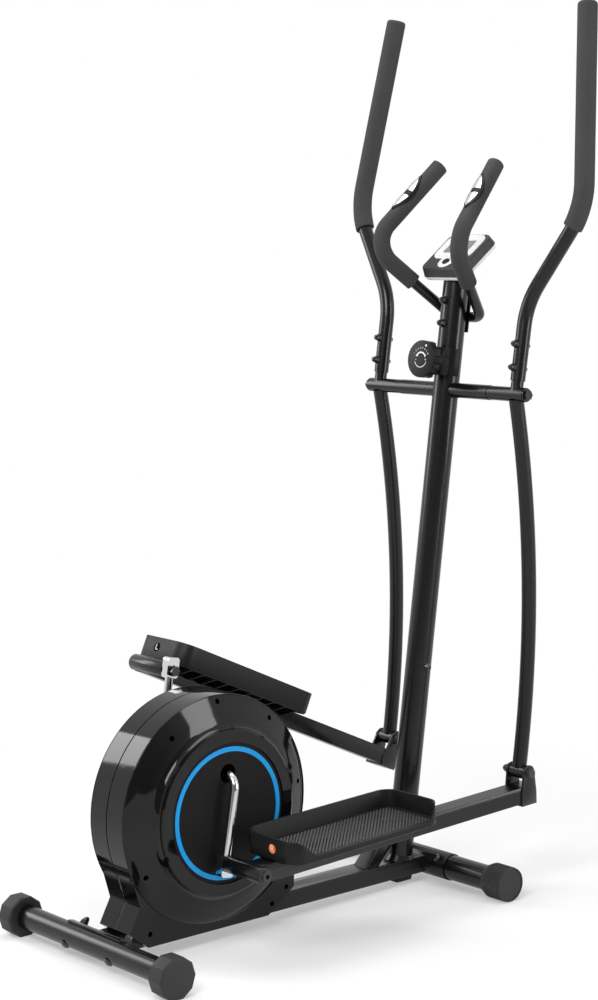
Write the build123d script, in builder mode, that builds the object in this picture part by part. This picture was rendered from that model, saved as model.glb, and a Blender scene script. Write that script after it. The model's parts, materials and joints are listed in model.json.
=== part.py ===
from build123d import *
import os
from math import asin, atan2, cos, degrees, hypot, radians, sin, sqrt

# Elliptical trainer, millimetres, +X forward, +Y left, +Z up, origin on the floor.

# General fits
RIGHT = -1
LEFT = 1
BASE = (Align.CENTER, Align.CENTER, Align.MIN)
running = 0.08
seat = 0.3
wall = 2.0

# Layout
wheel_x = -239.17
wheel_z = 242.0
seam_y = -6.5
crank_z = 313.0
crank_radius = 152.4
crank_lean = -9.25
axle_x = wheel_x + 616.5
axle_z = 950.0
rear_bar_x = wheel_x - 228.5
rear_bar_z = 35.6
front_bar_x = wheel_x + 564.0
front_bar_z = 33.3
side_y = 183.5
arm_y = 186.0

# Base rail, sleeve and stabilisers
rail_width = 50.0
rail_height = 32.0
rail_top = 49.0
rail_z = rail_top - rail_height / 2
rear_bar = 42.4
rear_bar_half = 229.0
front_bar = 48.0
front_bar_half = 225.0
sleeve_bar = 52.0
sleeve_half = 80.0
saddle_thick = 4.0
saddle_half = 75.0
saddle_bolt_y = 63.0
saddle_bolt_angle = 36.0
sleeve_bolt_y = 55.0
sleeve_bolt_angle = 138.0
cap_inner = rear_bar_half - 28.0
cap_outer = rear_bar_half + 7.5
cap_flats = 71.2
cap_shift = 2.5
roller_inner = front_bar_half - 45.0
roller_outer = front_bar_half + 9.0
roller_radius = front_bar_z
flutes = 40
flute_depth = 1.6

# Post
post_bar = 50.0
post_foot_x = wheel_x + 498.6
post_lean = degrees(atan2(axle_x - post_foot_x, axle_z - rail_top))
post_joint = 340.0
spigot_foot = 280.0
spigot_top = 440.0
axle_height = hypot(axle_x - post_foot_x, axle_z - rail_top)
dial_rise = 52.3
dial_height = axle_height + dial_rise
pulse_rise = 92.0
pulse_height = dial_height + pulse_rise
pulse_bolt_drop = 19.0
pulse_bolt_rise = 25.0
pulse_low = pulse_height - pulse_bolt_drop
pulse_high = pulse_height + pulse_bolt_rise
post_end = 58.0
post_top = pulse_high + post_end
front_bolts = (352.0, 398.0)
side_bolt = 374.0
cable_bar = 4.0
cable_inset = 17.0
cable_end = 108.0

# Housing
drum_radius = 205.0
drum_rim = 45.5
cone_radius = 150.0
cone_rim = 67.5
cone_slope = (cone_rim - drum_rim) / (drum_radius - cone_radius)
lip_radius = 147.0
lip_foot = 161.0
seam_groove = 1.2
rim_edge = 1.5
lip_rim = 81.5
disc_radius = 124.5
disc_face = 78.5
disc_seat = 76.0
disc_opening = 112.0
shell = 2.5
skirt_half = 43.5
ring_radius = 118.0
ring_band = 8.5
ring_thick = 0.8
boss = 11.0
screw_head = 7.6
screw_recess = 1.155 * screw_head + 0.6
screw_seat = 20.0

# Crank and drive
crank_bar = 15.0
crank_arm_y = 107.7
crank_bend = 27.0
eye_width = 26.0
eye_length = 38.0
eye_shift = 5.0
eye_inner = 99.9
eye_outer = 115.5
pulley_radius = 112.0
small_pulley = 22.0
pulley_inner = 26.0
pulley_outer = 34.0
flywheel_radius = 98.0
flywheel_half = 14.0
flywheel_z = 158.0
flywheel_bar = 12.0
mast_rear = wheel_x - 145.0
mast_depth = 30.0
mast_half = 18.0
shell_bar = 42.0
shell_half = 24.0
bearing_bar = 34.0
brake_x = wheel_x + 96.0
brake_z = 78.0
brake_pin = 8.0

# Handlebars
handle_bar = 28.0
handle_wall = 1.8
spigot_bar = 23.9
rocker = 719.5
bow = 31.0
axle_tube = 28.5
axle_shaft = 17.0
axle_tube_half = 118.0
axle_half = 208.0
hub_bar = 27.0
hub_inner = 118.2
hub_outer = 207.8
bush_flange = 2.0
knee_half = 18.6
knee_bar = 27.0
knee_bolt = 10.0
upper_tilt = 0.187
upper_foot = 25.0
upper_bend = 140.0
upper_low = 167.0
upper_high = 339.0
upper_wide = side_y + 112.5
upper_close = side_y + 62.5
grip_start = 0.4225
grip_bar = 38.0
grip_top = 716.0
grip_end = 7.0
bolt_heights = (48.0, 91.0)

# Pedals
arm_length = 666.0
knee_rise = 42.0
arm_width = 38.0
arm_height = 32.0
knee_reach = sqrt(arm_length ** 2 - knee_rise ** 2)
arm_end = knee_reach + 19.3
pin_sleeve = 30.0
pin_inner = 116.0
pin_outer = 212.0
pin_bar = 16.0
ear_inner = arm_width / 2
ear_thick = 4.0
ear_radius = 15.0
tray_rear = 28.0
tray_front = 380.0
tray_inner = 120.0
tray_outer = 260.0
tray_base = arm_height / 2
tray_rim = 58.0
tray_floor = 26.0
tray_wall = 4.0
tray_corner = 31.0

# Console
console_set_back = 1.0
console_rise = 27.4
console_tilt = 37.0
console_width = 118.0
console_length = 119.0
console_half = 12.0
console_corner = 20.0
button_bar = 16.0
tongue_radius = 18.0
face_wide = 98.0
face_long = 75.0
face_corner = 20.0
screen_wide = 64.0
screen_long = 38.0

os.makedirs("parts", exist_ok=True)


def save(piece, node):
    piece.part.label = node
    export_step(piece.part, "parts/" + node + ".step")


def rod(place, diameter, length, mode=Mode.ADD):
    with Locations(place):
        Cylinder(diameter / 2, length, align=BASE, mode=mode)


def hexagon(place, across, length, mode=Mode.ADD):
    with BuildSketch(place) as outline:
        RegularPolygon(across / 2, 6, major_radius=False)
    extrude(outline.sketch, amount=length, mode=mode)


# Hidden bolt shank, six-sided to save faces
def shank(place, size, length):
    hexagon(place, 0.85 * size, length)


# Clearance hole for a hidden shank
def bolt_hole(place, size, length):
    hexagon(place, size, length, Mode.SUBTRACT)


def frustum(place, foot, top, length):
    with Locations(place):
        Cone(foot / 2, top / 2, length, align=BASE)


def aim(place, start, toward):
    origin = place.from_local_coords(Vector(*start))
    tip = place.from_local_coords(Vector(*start) + Vector(*toward))
    return Plane(origin=origin, z_dir=tip - origin)


def across(x, y, z, side=LEFT):
    return Plane(origin=(x, y, z), x_dir=(1, 0, 0), z_dir=(0, side, 0))


def edge_on(place, y):
    return Plane(origin=place.from_local_coords(Vector(0, y, 0)), x_dir=place.x_dir, z_dir=(0, -1, 0))


def tilted(x, z, angle):
    a = radians(angle)
    return Plane(origin=(x, 0, z), x_dir=(cos(a), 0, sin(a)), z_dir=(-sin(a), 0, cos(a)))


def swept(path, diameter, mode=Mode.ADD):
    with BuildSketch(Plane(origin=path @ 0, z_dir=path % 0)) as section:
        Circle(diameter / 2)
    sweep(section.sketch, path=path, mode=mode)


def arc_band(place, inner, outer, start, size):
    with BuildSketch(place) as band:
        with BuildLine():
            big = CenterArc((0, 0), outer, start, size)
            small = CenterArc((0, 0), inner, start, size)
            Line(big @ 0, small @ 0)
            Line(big @ 1, small @ 1)
        make_face()
    return band.sketch


def acorn_nut(place, size):
    hexagon(place, size * 1.7, size * 0.9)
    frustum(place.offset(size * 0.9), size * 1.55, size * 1.35, size * 0.6)
    frustum(place.offset(size * 1.5), size * 1.35, size * 0.6, size * 0.5)


def button_head(place, size):
    frustum(place, size * 2, size * 1.2, size * 0.7)


post = tilted(post_foot_x, rail_top, -post_lean)
wheel = Plane(origin=(wheel_x, seam_y, wheel_z))
wheel_axis = Axis((wheel_x, seam_y, wheel_z), (0, 1, 0))
profile = Plane(origin=(wheel_x, seam_y, wheel_z), x_dir=(0, 1, 0), z_dir=(1, 0, 0))


# Plane at a place on the housing, a distance out from its seam, facing outwards
def out_from_seam(side, out, x, z):
    return Plane(origin=(wheel_x + x, seam_y + side * out, wheel_z + z), x_dir=(1, 0, 0), z_dir=(0, side, 0))


# Base rail with saddle, brace, front sleeve and brake lug
with BuildPart() as base_rail:
    with BuildSketch(Plane.YZ.offset(rear_bar_x)):
        with Locations((0, rail_z)):
            Rectangle(rail_width, rail_height)
    extrude(amount=front_bar_x - rear_bar_x)
    saddle_foot = rear_bar / 2 + seat
    saddle_plane = Plane(origin=(rear_bar_x, saddle_half, rear_bar_z), x_dir=(1, 0, 0), z_dir=(0, -1, 0))
    extrude(arc_band(saddle_plane, saddle_foot, saddle_foot + saddle_thick, -25, 120), amount=2 * saddle_half)
    rod(across(front_bar_x, -sleeve_half, front_bar_z), sleeve_bar, 2 * sleeve_half)
    brace_rear = wheel_x + 394.0
    brace_rise = 90.0
    with BuildSketch(edge_on(Plane.XY, 18)):
        with Locations((brace_rear, rail_top)):
            Polygon((0, -1), (32, -1), (32 + brace_rise, brace_rise), (brace_rise, brace_rise), align=None)
    extrude(amount=36)
    with BuildSketch(edge_on(Plane.XY, 18 - wall)):
        with Locations((brace_rear, rail_top)):
            Polygon((6, 2), (29, 2), (27 + brace_rise, brace_rise), (4 + brace_rise, brace_rise), align=None)
    extrude(amount=36 - 2 * wall, mode=Mode.SUBTRACT)
    with BuildSketch(edge_on(Plane.XY, 8)):
        with Locations((brake_x, brake_z)):
            Circle(8)
        with Locations((brake_x, (brake_z + rail_top) / 2 - 1)):
            Rectangle(16, brake_z - rail_top + 2)
    extrude(amount=16)
    rod(across(brake_x, -22, brake_z), brake_pin, 44)
    rod(across(rear_bar_x, -rail_width, rear_bar_z), rear_bar + 2 * seat, 2 * rail_width, Mode.SUBTRACT)
    rod(across(front_bar_x, -sleeve_half, front_bar_z), front_bar + 2 * seat, 2 * sleeve_half, Mode.SUBTRACT)
    rod(post.offset(4), post_bar + 2 * seat, 200, Mode.SUBTRACT)
    for y in (-saddle_bolt_y, saddle_bolt_y):
        a = radians(saddle_bolt_angle)
        start = aim(Plane.XY, (rear_bar_x, y, rear_bar_z), (cos(a), 0, sin(a)))
        bolt_hole(start, 8.6, 40)
    for y in (-sleeve_bolt_y, sleeve_bolt_y):
        a = radians(sleeve_bolt_angle)
        start = aim(Plane.XY, (front_bar_x, y, front_bar_z), (cos(a), 0, sin(a)))
        bolt_hole(start, 8.6, 40)
    hollow_rear = rear_bar_x + saddle_foot + saddle_thick
    hollow_front = front_bar_x - sleeve_bar / 2 - 1
    with BuildSketch(Plane.YZ.offset(hollow_rear)):
        with Locations((0, rail_z)):
            Rectangle(rail_width - 2 * wall, rail_height - 2 * wall)
    extrude(amount=hollow_front - hollow_rear, mode=Mode.SUBTRACT)
    for x in (wheel_x + cable_end, post_foot_x - cable_inset):
        rod(Plane(origin=(x, 0, rail_z)), 10, rail_height, Mode.SUBTRACT)
save(base_rail, "base_rail")

# Rubber foot under the rail
with BuildPart() as rail_foot:
    with BuildSketch(Plane(origin=(post_foot_x, 0, rail_top - rail_height))):
        RectangleRounded(44, 36, 6)
    extrude(amount=-12, taper=12)
save(rail_foot, "rail_foot")

# Lower post with weld collar and inner spigot
with BuildPart() as lower_post:
    rod(post.offset(-8), post_bar, post_joint + 8)
    frustum(post.offset(-4), 64, post_bar + 1, 11)
    rod(post.offset(-9), post_bar - 2 * wall, post_joint + 10, Mode.SUBTRACT)
    rod(post.offset(spigot_foot), post_bar - 2 * wall, post_joint - spigot_foot)
    rod(post.offset(post_joint), post_bar - 2 * wall - 2 * seat, spigot_top - post_joint)
    rod(post.offset(spigot_foot), post_bar - 4 * wall - 2 * seat, spigot_top - spigot_foot, Mode.SUBTRACT)
    with Locations((post_foot_x, 0, rail_top)):
        Box(200, 200, 100, align=(Align.CENTER, Align.CENTER, Align.MAX), mode=Mode.SUBTRACT)
    for height in front_bolts:
        bolt_hole(aim(post, (0, 0, height), (1, 0, 0)), 8.6, post_bar)
    bolt_hole(aim(post, (0, -post_bar, side_bolt), (0, 1, 0)), 8.6, 2 * post_bar)
save(lower_post, "lower_post")

# Upper post
with BuildPart() as upper_post:
    rod(post.offset(post_joint + seat), post_bar, post_top - post_joint - seat)
    rod(post.offset(post_joint), post_bar - 2 * wall, post_top, Mode.SUBTRACT)
    for height in front_bolts:
        bolt_hole(aim(post, (0, 0, height), (1, 0, 0)), 8.6, post_bar)
    bolt_hole(aim(post, (0, -post_bar, side_bolt), (0, 1, 0)), 8.6, 2 * post_bar)
    for height in (pulse_low, pulse_high):
        bolt_hole(aim(post, (-post_bar, 0, height), (1, 0, 0)), 8.6, 2 * post_bar)
    rod(aim(post, (0, 0, dial_height), (-1, 0, 0)), 10, post_bar, Mode.SUBTRACT)
    rod(across(axle_x, -post_bar, axle_z), axle_tube + 2 * seat, 2 * post_bar, Mode.SUBTRACT)
save(upper_post, "upper_post")

# Crank mast with bearing shell and flywheel fork
with BuildPart() as crank_mast:
    mast_top = crank_z + 15
    with BuildSketch(edge_on(Plane.XY, mast_half)):
        with Locations((mast_rear, rail_top)):
            Rectangle(mast_depth, mast_top - rail_top, align=(Align.MIN, Align.MIN))
        with Locations((mast_rear, mast_top)):
            Rectangle(wheel_x - mast_rear, mast_depth, align=(Align.MIN, Align.MAX))
    extrude(amount=2 * mast_half)
    with BuildSketch(edge_on(Plane.XY, mast_half - wall)):
        with Locations((mast_rear + wall, rail_top)):
            Rectangle(mast_depth - 2 * wall, mast_top - rail_top - wall, align=(Align.MIN, Align.MIN))
    extrude(amount=2 * mast_half - 2 * wall, mode=Mode.SUBTRACT)
    for side in (RIGHT, LEFT):
        with BuildSketch(edge_on(Plane.XY, side * mast_half)):
            with Locations((wheel_x, flywheel_z)):
                Circle(18)
            with Locations((mast_rear, flywheel_z)):
                Rectangle(wheel_x - mast_rear, 30, align=(Align.MIN, Align.CENTER))
        extrude(amount=-side * 5)
    rod(across(wheel_x, -shell_half, crank_z), shell_bar, 2 * shell_half)
    rod(across(wheel_x, -shell_half, crank_z), bearing_bar + 2 * seat, 2 * shell_half, Mode.SUBTRACT)
    rod(across(wheel_x, -shell_half - 1, flywheel_z), 24 + 2 * seat, 2 * shell_half + 2, Mode.SUBTRACT)
save(crank_mast, "crank_mast")

# Crank and flywheel bearings
with BuildPart() as bearings:
    for side in (RIGHT, LEFT):
        rod(across(wheel_x, side * (shell_half - 10), crank_z, side), bearing_bar, 11)
        rod(across(wheel_x, side * (shell_half - 10), crank_z, side), crank_bar + 2 * running, 11, Mode.SUBTRACT)
        rod(across(wheel_x, side * (mast_half - 0.5), flywheel_z, side), 24, 6)
        rod(across(wheel_x, side * (mast_half - 0.5), flywheel_z, side), flywheel_bar + 2 * running, 6, Mode.SUBTRACT)
save(bearings, "bearings")

# Stabiliser tubes
with BuildPart() as rear_stabiliser:
    rod(across(rear_bar_x, -rear_bar_half, rear_bar_z), rear_bar, 2 * rear_bar_half)
    rod(across(rear_bar_x, -rear_bar_half, rear_bar_z), rear_bar - 2 * wall, 2 * rear_bar_half, Mode.SUBTRACT)
    for y in (-saddle_bolt_y, saddle_bolt_y):
        a = radians(saddle_bolt_angle)
        start = (rear_bar_x - 40 * cos(a), y, rear_bar_z - 40 * sin(a))
        bolt_hole(aim(Plane.XY, start, (cos(a), 0, sin(a))), 8.6, 80)
save(rear_stabiliser, "rear_stabiliser")

with BuildPart() as front_stabiliser:
    rod(across(front_bar_x, -front_bar_half, front_bar_z), front_bar, 2 * front_bar_half)
    rod(across(front_bar_x, -front_bar_half, front_bar_z), front_bar - 2 * wall, 2 * front_bar_half, Mode.SUBTRACT)
    for y in (-sleeve_bolt_y, sleeve_bolt_y):
        a = radians(sleeve_bolt_angle)
        bolt_hole(aim(Plane.XY, (front_bar_x, y, front_bar_z), (cos(a), 0, sin(a))), 8.6, 40)
save(front_stabiliser, "front_stabiliser")

# Stabiliser bolts: carriage bolts with cap nuts behind, button heads in front
with BuildPart() as stabiliser_bolts:
    for y in (-saddle_bolt_y, saddle_bolt_y):
        a = radians(saddle_bolt_angle)
        middle = aim(Plane.XY, (rear_bar_x, y, rear_bar_z), (cos(a), 0, sin(a)))
        under = rear_bar / 2 + 0.1
        over = rear_bar / 2 + saddle_thick + seat + 0.1
        frustum(middle.offset(-under - 4), 9, 19, 4)
        shank(middle.offset(-under), 8, under + over)
        acorn_nut(middle.offset(over), 8)
    for y in (-sleeve_bolt_y, sleeve_bolt_y):
        a = radians(sleeve_bolt_angle)
        middle = aim(Plane.XY, (front_bar_x, y, front_bar_z), (cos(a), 0, sin(a)))
        shank(middle.offset(12), 8, sleeve_bar / 2 - 11)
        button_head(middle.offset(sleeve_bar / 2 + 0.1), 8)
save(stabiliser_bolts, "stabiliser_bolts")


# Ten-sided levelling caps on the rear stabiliser
def levelling_cap(side, node):
    with BuildPart() as piece:
        with BuildSketch(edge_on(Plane.XY, side * cap_inner)):
            with Locations((rear_bar_x - cap_shift, rear_bar_z)):
                RegularPolygon(cap_flats / 2, 10, major_radius=False)
        extrude(amount=-side * (cap_outer - cap_inner))
        ends = piece.faces().filter_by(Axis.Y).edges()
        chamfer(ends, 2.5)
        place = across(rear_bar_x, side * cap_inner, rear_bar_z, side)
        rod(place, rear_bar + 2 * running, cap_outer - cap_inner - 4, Mode.SUBTRACT)
    save(piece, node)


levelling_cap(RIGHT, "right_levelling_cap")
levelling_cap(LEFT, "left_levelling_cap")


# Fluted roller caps on the front stabiliser
def roller_cap(side, node):
    with BuildPart() as piece:
        neck = across(front_bar_x, side * roller_inner, front_bar_z, side)
        frustum(neck, front_bar + 8, 2 * roller_radius - 4, 10)
        with BuildSketch(neck.offset(10)):
            turns = [radians(180 * step / flutes - 90) for step in range(2 * flutes)]
            radii = [roller_radius - flute_depth * (step % 2) for step in range(2 * flutes)]
            Polygon(*[(r * cos(t), r * sin(t)) for r, t in zip(radii, turns)], align=None)
        extrude(amount=roller_outer - roller_inner - 14)
        rod(neck.offset(roller_outer - roller_inner - 4), 2 * roller_radius - 2, 4)
        rod(neck.offset(roller_outer - roller_inner - 1), 2 * roller_radius - 8, 1, Mode.SUBTRACT)
        rod(neck, front_bar + 2 * running, roller_outer - roller_inner - 6, Mode.SUBTRACT)
    save(piece, node)


roller_cap(RIGHT, "right_roller_cap")
roller_cap(LEFT, "left_roller_cap")

# Screw places on the housing, from the wheel centre: forward and up
drum_screws = [(26, 126.0), (11, 90.0), (16, 51.5), (19, 6.7), (20, -151.0)]
screw_spots = [(drum_radius - inset, radians(turn)) for inset, turn in drum_screws]
through_screws = [(r * cos(turn), r * sin(turn)) for r, turn in screw_spots]
front_screw = (165.0, 69.0 - wheel_z)
rail_screws = [(-146.0, 47.0 - wheel_z), (131.0, 44.0 - wheel_z)]


def outer_face(x, z):
    r = hypot(x, z)
    if (x, z) == front_screw:
        return skirt_half
    return drum_rim + (drum_radius - r) * cone_slope


# One half of the drive housing: drum, skirt and tail, hollow and open over the rail
def housing_half(side, node):
    with BuildPart() as piece:
        gap = seat / 2
        with BuildSketch(profile):
            with BuildLine():
                foot = (side * (drum_rim + (drum_radius - lip_foot) * cone_slope), lip_foot)
                Polyline(
                    (side * gap, 0), (side * gap, drum_radius - seam_groove), (side * (gap + seam_groove), drum_radius),
                    (side * (drum_rim - rim_edge), drum_radius),
                    (side * (drum_rim + rim_edge * cone_slope), drum_radius - rim_edge), foot)
                ThreePointArc(foot, (side * (cone_rim + 1), cone_radius + 1.5), (side * (lip_rim - 2), lip_radius + 1))
                Polyline(
                    (side * (lip_rim - 2), lip_radius + 1), (side * lip_rim, lip_radius - 2), (side * lip_rim, 0),
                    (side * gap, 0))
            make_face()
        revolve(axis=wheel_axis)
        with BuildSketch(edge_on(wheel, side * gap)) as skirt:
            Polygon(
                (-150, -218), (122, -218), (183, -176), (187, -82), (150, 0), (-150, 0), (-181, -98), (-167, -144),
                (-190, -187), align=None)
        extrude(amount=-side * (skirt_half - gap))
        inner_rim = drum_rim - 1.7
        inner_cone = cone_radius - 3.3
        inner_rise = (drum_radius - shell - inner_cone) * cone_slope
        with BuildSketch(profile):
            Polygon(
                (-side, 0), (-side, drum_radius - shell), (side * inner_rim, drum_radius - shell),
                (side * (inner_rim + inner_rise), inner_cone), (side * (lip_rim - shell), lip_radius - shell),
                (side * (lip_rim - shell), disc_radius + 3.2), (side * (disc_seat - shell), disc_radius + 3.2),
                (side * (disc_seat - shell), 0), align=None)
        revolve(axis=wheel_axis, mode=Mode.SUBTRACT)
        with BuildSketch(edge_on(wheel, 0)):
            offset(skirt.sketch_local, amount=-shell)
        extrude(amount=-side * (skirt_half - shell), mode=Mode.SUBTRACT)
        rod(out_from_seam(side, disc_seat, 0, 0), 2 * disc_radius + 1.4, 20, Mode.SUBTRACT)
        rod(out_from_seam(side, disc_seat - 10, 0, 0), 2 * disc_opening, 40, Mode.SUBTRACT)
        for x, z in through_screws + [front_screw]:
            place = out_from_seam(side, gap, x, z)
            rod(place, boss, outer_face(x, z) - 2.4 - gap)
            bolt_hole(place, 4.4, 18)
            if side == RIGHT:
                bolt_hole(place, 4.4, screw_seat)
                rod(place.offset(screw_seat - gap), screw_recess, 80, Mode.SUBTRACT)
        for x, z in rail_screws:
            foot = rail_width / 2 + seat - side * seam_y
            place = out_from_seam(side, foot, x, z)
            rod(place, boss, skirt_half - foot - 1)
            bolt_hole(place.offset(1), 4.4, 10)
            rod(place.offset(6), screw_recess, 40, Mode.SUBTRACT)
        with Locations((wheel_x, 0, 0)):
            Box(600, rail_width + 2 * seat, 2 * (rail_top + seat), mode=Mode.SUBTRACT)
    save(piece, node)


housing_half(RIGHT, "right_housing")
housing_half(LEFT, "left_housing")


# Disc cover with the crank hole and the flywheel hole
def disc_cover(side, node):
    with BuildPart() as piece:
        rod(out_from_seam(side, disc_seat, 0, 0), 2 * disc_radius, disc_face - disc_seat)
        rod(out_from_seam(side, disc_seat - 1, 0, crank_z - wheel_z), 34, 10, Mode.SUBTRACT)
        rod(out_from_seam(side, disc_seat - 1, 0, flywheel_z - wheel_z), 25, 10, Mode.SUBTRACT)
    save(piece, node)


disc_cover(RIGHT, "right_disc_cover")
disc_cover(LEFT, "left_disc_cover")

with BuildPart() as ring_trims:
    for side in (RIGHT, LEFT):
        place = out_from_seam(side, disc_face, 0, 0)
        rod(place, 2 * ring_radius, ring_thick)
        rod(place, 2 * (ring_radius - ring_band), ring_thick, Mode.SUBTRACT)
save(ring_trims, "ring_trims")

with BuildPart() as housing_screws:
    for x, z in through_screws + [front_screw]:
        place = out_from_seam(LEFT, -screw_seat, x, z)
        hexagon(place.offset(-4), screw_head, 4)
        shank(place, 4, screw_seat + 14)
    for side in (RIGHT, LEFT):
        for x, z in rail_screws:
            place = out_from_seam(side, rail_width / 2 + seat - side * seam_y, x, z)
            shank(place.offset(1.5), 4, 5)
            hexagon(place.offset(6), screw_head, 4)
save(housing_screws, "housing_screws")

# Crank: one bent rod with an eye at each end
lean = radians(crank_lean)
right_pin = (wheel_x + crank_radius * sin(lean), crank_z - crank_radius * cos(lean))
left_pin = (wheel_x - crank_radius * sin(lean), crank_z + crank_radius * cos(lean))
with BuildLine() as crank_path:
    FilletPolyline(
        (right_pin[0], -crank_arm_y, right_pin[1]), (wheel_x, -crank_arm_y, crank_z),
        (wheel_x, crank_arm_y, crank_z), (left_pin[0], crank_arm_y, left_pin[1]), radius=crank_bend)
with BuildPart() as crank:
    swept(crank_path.line, crank_bar)
    for side, pin in ((RIGHT, right_pin), (LEFT, left_pin)):
        with BuildSketch(across(pin[0], side * eye_inner, pin[1], side)) as eye:
            with Locations((-side * eye_shift * sin(lean), -eye_shift * cos(lean))):
                RectangleRounded(eye_width, eye_length, 6, rotation=-side * crank_lean)
        extrude(eye.sketch, amount=eye_outer - eye_inner)
        rod(across(pin[0], side * 95, pin[1], side), 13, 30, Mode.SUBTRACT)
save(crank, "crank")

with BuildPart() as crank_bolts:
    for side, pin in ((RIGHT, right_pin), (LEFT, left_pin)):
        place = across(pin[0], side * (eye_inner - 9), pin[1], side)
        hexagon(place, 17, 7)
        rod(place.offset(7), 20, 1.9)
        rod(place.offset(8), 12.4, eye_outer - eye_inner + 0.9)
save(crank_bolts, "crank_bolts")

with BuildPart() as crank_pulley:
    place = across(wheel_x, pulley_inner, crank_z)
    rod(place, 2 * pulley_radius, pulley_outer - pulley_inner)
    rod(place.offset(5.5), 2 * pulley_radius - 20, 4, Mode.SUBTRACT)
    rod(place, 2 * pulley_radius - 20, 2.5, Mode.SUBTRACT)
    rod(place, 34, pulley_outer - pulley_inner + 4)
    rod(place.offset(-10), crank_bar + 2 * seat, 40, Mode.SUBTRACT)
save(crank_pulley, "crank_pulley")

# Flywheel with rim, web, axle and small pulley
with BuildPart() as flywheel:
    place = across(wheel_x, -flywheel_half, flywheel_z)
    rod(place, 2 * flywheel_radius, 2 * flywheel_half)
    rod(place, 2 * flywheel_radius - 44, flywheel_half - 5, Mode.SUBTRACT)
    rod(place.offset(flywheel_half + 5), 2 * flywheel_radius - 44, flywheel_half - 5, Mode.SUBTRACT)
    rod(place.offset(-2), 40, 2 * flywheel_half + 4)
    rod(across(wheel_x, -26, flywheel_z), flywheel_bar, 26 + pulley_outer)
    rod(across(wheel_x, pulley_inner, flywheel_z), 2 * small_pulley, pulley_outer - pulley_inner)
save(flywheel, "flywheel")

with BuildPart() as drive_belt:
    with BuildSketch(across(wheel_x, pulley_inner + 1, crank_z)):
        Circle(pulley_radius + seat + 3)
        with Locations((0, crank_z - flywheel_z)):
            Circle(small_pulley + seat + 3)
        make_hull()
    extrude(amount=6)
    with BuildSketch(across(wheel_x, pulley_inner + 1, crank_z)):
        Circle(pulley_radius + seat)
        with Locations((0, crank_z - flywheel_z)):
            Circle(small_pulley + seat)
        make_hull()
    extrude(amount=6, mode=Mode.SUBTRACT)
save(drive_belt, "drive_belt")

# Magnet arm: two cheeks over the flywheel rim, a bridge outside it, and a lever to the brake pin
brake_turn = degrees(atan2(brake_z - flywheel_z, brake_x - wheel_x))
cheek_face = flywheel_half + 2.5
cheek_thick = 3.0
with BuildPart() as magnet_arm:
    for side in (RIGHT, LEFT):
        face = edge_on(Plane(origin=(wheel_x, 0, flywheel_z)), side * cheek_face)
        extrude(arc_band(face, 72, 104, brake_turn + 10, 46), amount=-side * cheek_thick)
        with BuildSketch(edge_on(Plane.XY, side * cheek_face)):
            with Locations((brake_x, brake_z)):
                Circle(10)
                Rectangle(20, 46, align=(Align.CENTER, Align.MIN), rotation=14)
        extrude(amount=-side * cheek_thick)
    face = edge_on(Plane(origin=(wheel_x, 0, flywheel_z)), cheek_face + 1)
    extrude(arc_band(face, 101, 104, brake_turn + 12, 42), amount=2 * cheek_face + 2)
    rod(across(brake_x, -40, brake_z), brake_pin + 2 * running, 80, Mode.SUBTRACT)
save(magnet_arm, "magnet_arm")

with BuildPart() as magnets:
    for side in (RIGHT, LEFT):
        for turn in (14, 30, 46):
            a = radians(brake_turn + turn)
            place = across(wheel_x + 86 * cos(a), side * cheek_face, flywheel_z + 86 * sin(a), -side)
            hexagon(place, 20, 1.7)
save(magnets, "magnets")

# Tension cable: from the dial down the post, along the rail and up to the brake
cable_top = post.from_local_coords(Vector(-44, 0, dial_height))
cable_turn = post.from_local_coords(Vector(-cable_inset, 0, dial_height))
drop = (rail_z - cable_turn.Z) / post.z_dir.Z
cable_low = cable_turn + post.z_dir * drop
with BuildLine() as cable_path:
    FilletPolyline(
        cable_top, cable_turn, cable_low, (wheel_x + cable_end, 0, rail_z), (wheel_x + cable_end, 0, rail_top + 6),
        radius=12)
with BuildPart() as tension_cable:
    with BuildSketch(Plane(origin=cable_path.line @ 0, z_dir=cable_path.line % 0)):
        RegularPolygon(cable_bar / 2, 6)
    sweep(path=cable_path.line)
save(tension_cable, "tension_cable")

# Post bolts: joint bolts in front and at the sides, long bolts with cap nuts for the pulse bar
bar_u = 37.5
with BuildPart() as post_bolts:
    for height in front_bolts:
        place = aim(post, (post_bar / 2 + 0.1, 0, height), (1, 0, 0))
        shank(place.offset(-14), 8, 15)
        button_head(place, 8)
    for side in (RIGHT, LEFT):
        place = aim(post, (0, side * (post_bar / 2 + 0.1), side_bolt), (0, side, 0))
        shank(place.offset(-14), 8, 15)
        button_head(place, 8)
    front = post_bar / 2 + 3.2
    for height in (pulse_low, pulse_high):
        place = aim(post, (-post_bar / 2 - 0.1, 0, height), (-1, 0, 0))
        shank(place.offset(-front - post_bar / 2 - 1), 8, front + post_bar / 2 + 2)
        acorn_nut(place, 8)
        button_head(aim(post, (front, 0, height), (1, 0, 0)), 8)
save(post_bolts, "post_bolts")

# Cross axle through the post
with BuildPart() as cross_axle:
    rod(across(axle_x, -axle_tube_half, axle_z), axle_tube, 2 * axle_tube_half)
    rod(across(axle_x, -axle_tube_half + 12, axle_z), axle_tube - 6, 2 * axle_tube_half - 24, Mode.SUBTRACT)
    for side in (RIGHT, LEFT):
        rod(across(axle_x, side * (axle_tube_half - 16), axle_z, side), axle_shaft, axle_half - axle_tube_half + 16)
        bolt_hole(across(axle_x, side * (axle_half - 26), axle_z, side), 10.6, 30)
save(cross_axle, "cross_axle")

with BuildPart() as axle_bolts:
    for side in (RIGHT, LEFT):
        place = across(axle_x, side * (axle_half + 0.1), axle_z, side)
        shank(place.offset(-22), 10, 23)
        rod(place, 25, 2.4)
        hexagon(place.offset(2.4), 16, 6.5)
save(axle_bolts, "axle_bolts")


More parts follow.
